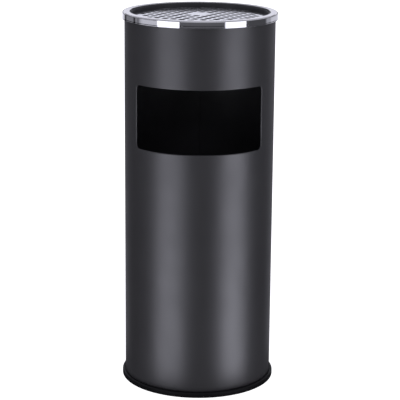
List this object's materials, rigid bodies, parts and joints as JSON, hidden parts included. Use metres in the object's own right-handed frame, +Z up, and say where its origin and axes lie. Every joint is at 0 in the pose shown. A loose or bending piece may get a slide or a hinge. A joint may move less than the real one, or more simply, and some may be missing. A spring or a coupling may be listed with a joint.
{
  "type": "ashtray bin",
  "caption": "Free-standing round steel bin with a litter window, a lift-out liner with a bail, and a lift-off ash bowl with a bright rim and a perforated grate.",
  "frame": {"origin": "centre of the base on the floor", "axes": "+Z up along the tube, -Y out of the litter window, +X to the right seen from the window's side"},
  "size_m": [0.2518, 0.2518, 0.61],
  "materials": {
    "shell_paint": "smooth satin dark grey enamel",
    "inner_paint": "satin black enamel",
    "base_rubber": "matt black moulded rubber",
    "galvanised_steel": "spangled hot-dip zinc",
    "zinc_wire": "bright zinc plate",
    "bowl_enamel": "satin dark enamel",
    "polished_steel": "polished stainless steel",
    "satin_steel": "satin stainless steel"
  },
  "bodies": {
    "bin_body": {"outer_shell": "shell_paint", "bottom_plate": "inner_paint", "base_ring": "base_rubber"},
    "liner": {"liner_wall": "galvanised_steel", "liner_rim_wire": "zinc_wire", "liner_bottom": "galvanised_steel", "liner_ear_right": "galvanised_steel", "liner_ear_left": "galvanised_steel", "ear_rivet_right_front": "zinc_wire", "ear_rivet_right_rear": "zinc_wire", "ear_rivet_left_front": "zinc_wire", "ear_rivet_left_rear": "zinc_wire"},
    "bail": {"liner_bail": "zinc_wire"},
    "ashtray": {"ash_rim": "polished_steel", "ash_bowl": "bowl_enamel"},
    "grate": {"ash_grate": "satin_steel"}
  },
  "joints": [
    {"name": "liner_lift", "type": "slide", "parent": "bin_body", "child": "liner", "axis": [0, 0, 1], "range_m": [0, 0.62]},
    {"name": "bail_swing", "type": "hinge", "parent": "liner", "child": "bail", "pos_m": [0, 0, 0.3295], "axis": [1, 0, 0], "range_deg": [0, 215]},
    {"name": "ashtray_lift", "type": "slide", "parent": "liner", "child": "ashtray", "axis": [0, 0, 1], "range_m": [0, 0.12]},
    {"name": "grate_lift", "type": "slide", "parent": "ashtray", "child": "grate", "axis": [0, 0, 1], "range_m": [0, 0.06]}
  ]
}
